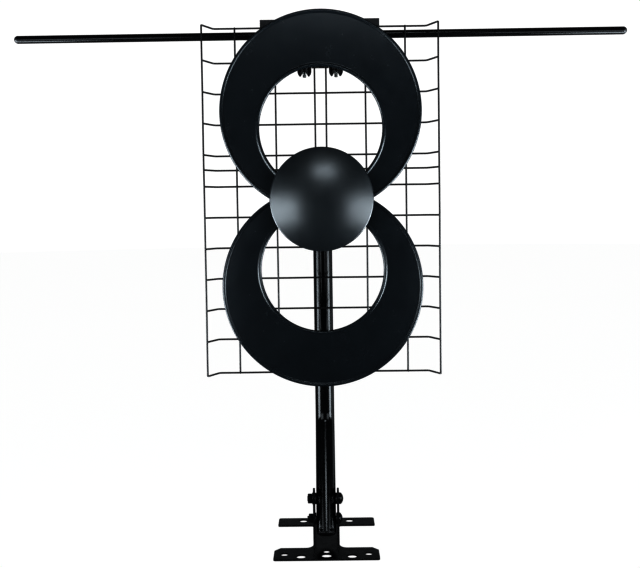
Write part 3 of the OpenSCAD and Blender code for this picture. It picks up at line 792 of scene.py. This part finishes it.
EDGE_ROUNDING = {
    0.4 * MM: ("foot_plate", "grid_jaw", "blank_label_tab", "dipole_bracket", "bracket_cover"),
    0.7 * MM: ("clamp_saddle", "boom", "hub_rear_shell", "mast_top_cap"),
    0.2 * MM: (
        "pivot_spacers", "lock_spacers", "lock_washers", "rod_sockets",
        "left_rod_tip", "right_rod_tip",
    ),
}
for width, names in EDGE_ROUNDING.items():
    for name in names:
        soften(name, width)
for name in ("left_wing_knob", "right_wing_knob"):
    cast(name, 0.28 * MM)

for node_name, cad_object in NODES.items():
    cad_object.material_slots[0].material = FINISHES[SLOT_OF[node_name]]


# ---------- studio ----------

SOFTBOX_COLOUR = (0.88, 0.95, 1)
FLOOR_R = 12
BACKDROP_R = 14


def glow(name, colour, strength):
    """A material that gives off light and does nothing else."""
    made = bpy.data.materials.new(name)
    made.use_nodes = True
    tree = made.node_tree
    tree.nodes.remove(tree.nodes["Principled BSDF"])
    light = add_node(tree, "ShaderNodeEmission", {"Color": (*colour, 1), "Strength": strength})
    tree.links.new(light.outputs[0], tree.nodes["Material Output"].inputs["Surface"])
    return made


def studio_object(name, mesh, finish):
    """Puts a mesh of the studio in the scene."""
    mesh.materials.append(finish)
    made = bpy.data.objects.new(name, mesh)
    bpy.context.scene.collection.objects.link(made)
    return made


def panel(name, corners, faces, strength):
    """A softbox that lights the object and isn't seen itself."""
    mesh = bpy.data.meshes.new(name)
    mesh.from_pydata(corners, [], faces)
    made = studio_object(name, mesh, glow(name, SOFTBOX_COLOUR, strength))
    made.visible_camera = False


def at(azimuth, distance, z):
    """A point round the object: azimuth 0 is in front, and it grows towards the left."""
    a = math.radians(azimuth)
    return (-distance * math.sin(a), -distance * math.cos(a), z)


def flat_box(name, xs, place_y, zs, strength):
    """An upright flat softbox that faces the object."""
    corners = [(x, place_y, z) for z in zs for x in xs]
    panel(name, corners, [(0, 1, 3, 2)], strength)


def slope_box(name, start, end, near, far, strength):
    """A softbox that leans back: near and far are the (distance, height) of its two edges."""
    steps = 12
    turns = [start + (end - start) * i / steps for i in range(steps + 1)]
    corners = [at(t, *near) for t in turns] + [at(t, *far) for t in turns]
    faces = [(i, i + 1, i + steps + 2, i + steps + 1) for i in range(steps)]
    panel(name, corners, faces, strength)


slope_box("left_front_box", 20, 50, (1.4, 0.02), (1.4, 0.6), 8.5)
slope_box("right_front_box", -22, -50, (1.4, 0.02), (1.4, 0.6), 7.5)
slope_box("left_side_box", 57, 88, (0.62, 0.01), (3.0, 0.33), 21)
slope_box("right_side_box", -55, -84, (0.62, 0.01), (3.0, 0.33), 24)
slope_box("right_rear_box", -94, -125, (0.62, 0.01), (3.0, 0.33), 2)
flat_box("top_box", (-0.7, 1.4), -6.3, (3.25, 4.0), 25)
flat_box("rear_box", (-1.3, 1.3), 3.0, (1.0, 1.6), 0.6)


def floor():
    """A plain pale floor, lit evenly by its own glow so that it stays near white."""
    bm = bmesh.new()
    bmesh.ops.create_circle(bm, cap_ends=True, segments=96, radius=FLOOR_R)
    mesh = bpy.data.meshes.new("floor")
    bm.to_mesh(mesh)
    bm.free()
    pale = bpy.data.materials.new("floor")
    pale.use_nodes = True
    shader = pale.node_tree.nodes["Principled BSDF"]
    shader.inputs["Base Color"].default_value = (0.05, 0.05, 0.05, 1)
    shader.inputs["Roughness"].default_value = 0.9
    shader.inputs["Specular IOR Level"].default_value = 0
    shader.inputs["Emission Color"].default_value = (1, 1, 1, 1)
    shader.inputs["Emission Strength"].default_value = 0.985
    made = studio_object("floor", mesh, pale)
    made.location = (0, 0, -0.4 * MM)
    made.visible_glossy = False
    made.visible_diffuse = False


def backdrop():
    """A white surround that only the camera sees."""
    bm = bmesh.new()
    bmesh.ops.create_uvsphere(bm, u_segments=32, v_segments=16, radius=BACKDROP_R)
    mesh = bpy.data.meshes.new("backdrop")
    bm.to_mesh(mesh)
    bm.free()
    made = studio_object("backdrop", mesh, glow("backdrop", (1, 1, 1), 1.05))
    made.visible_diffuse = False
    made.visible_glossy = False
    made.visible_shadow = False


floor()
backdrop()

world = bpy.data.worlds.new("world")
world.use_nodes = True
sky = world.node_tree.nodes["Background"]
sky.inputs["Color"].default_value = (0.9, 0.95, 1, 1)
sky.inputs["Strength"].default_value = 0.12
bpy.context.scene.world = world

# The low gamma keeps wires dark that are thinner than the image can show
view = bpy.context.scene.view_settings
view.view_transform = "Standard"
view.gamma = 0.5


# ---------- camera ----------

# The focal length is over the image's width, and the shift is in image widths
CAMERA_AT = (3.69 * MM, -1.149, 480.6 * MM)
PITCH, YAW, ROLL = math.radians(-2.235), math.radians(0.418), math.radians(0.8)
FOCAL_TO_WIDTH = 1.170547
SHIFT = (0.000625, -0.057969)

lens = bpy.data.cameras.new("camera")
lens.sensor_width = 36
lens.lens = FOCAL_TO_WIDTH * lens.sensor_width
lens.shift_x, lens.shift_y = SHIFT
camera = bpy.data.objects.new("camera", lens)
bpy.context.scene.collection.objects.link(camera)
turn = Matrix.Rotation(YAW, 4, "Z") @ Matrix.Rotation(PITCH, 4, "X") @ Matrix.Rotation(ROLL, 4, "Y")
camera.matrix_world = Matrix.Translation(CAMERA_AT) @ turn @ Matrix.Rotation(math.pi / 2, 4, "X")
bpy.context.scene.camera = camera
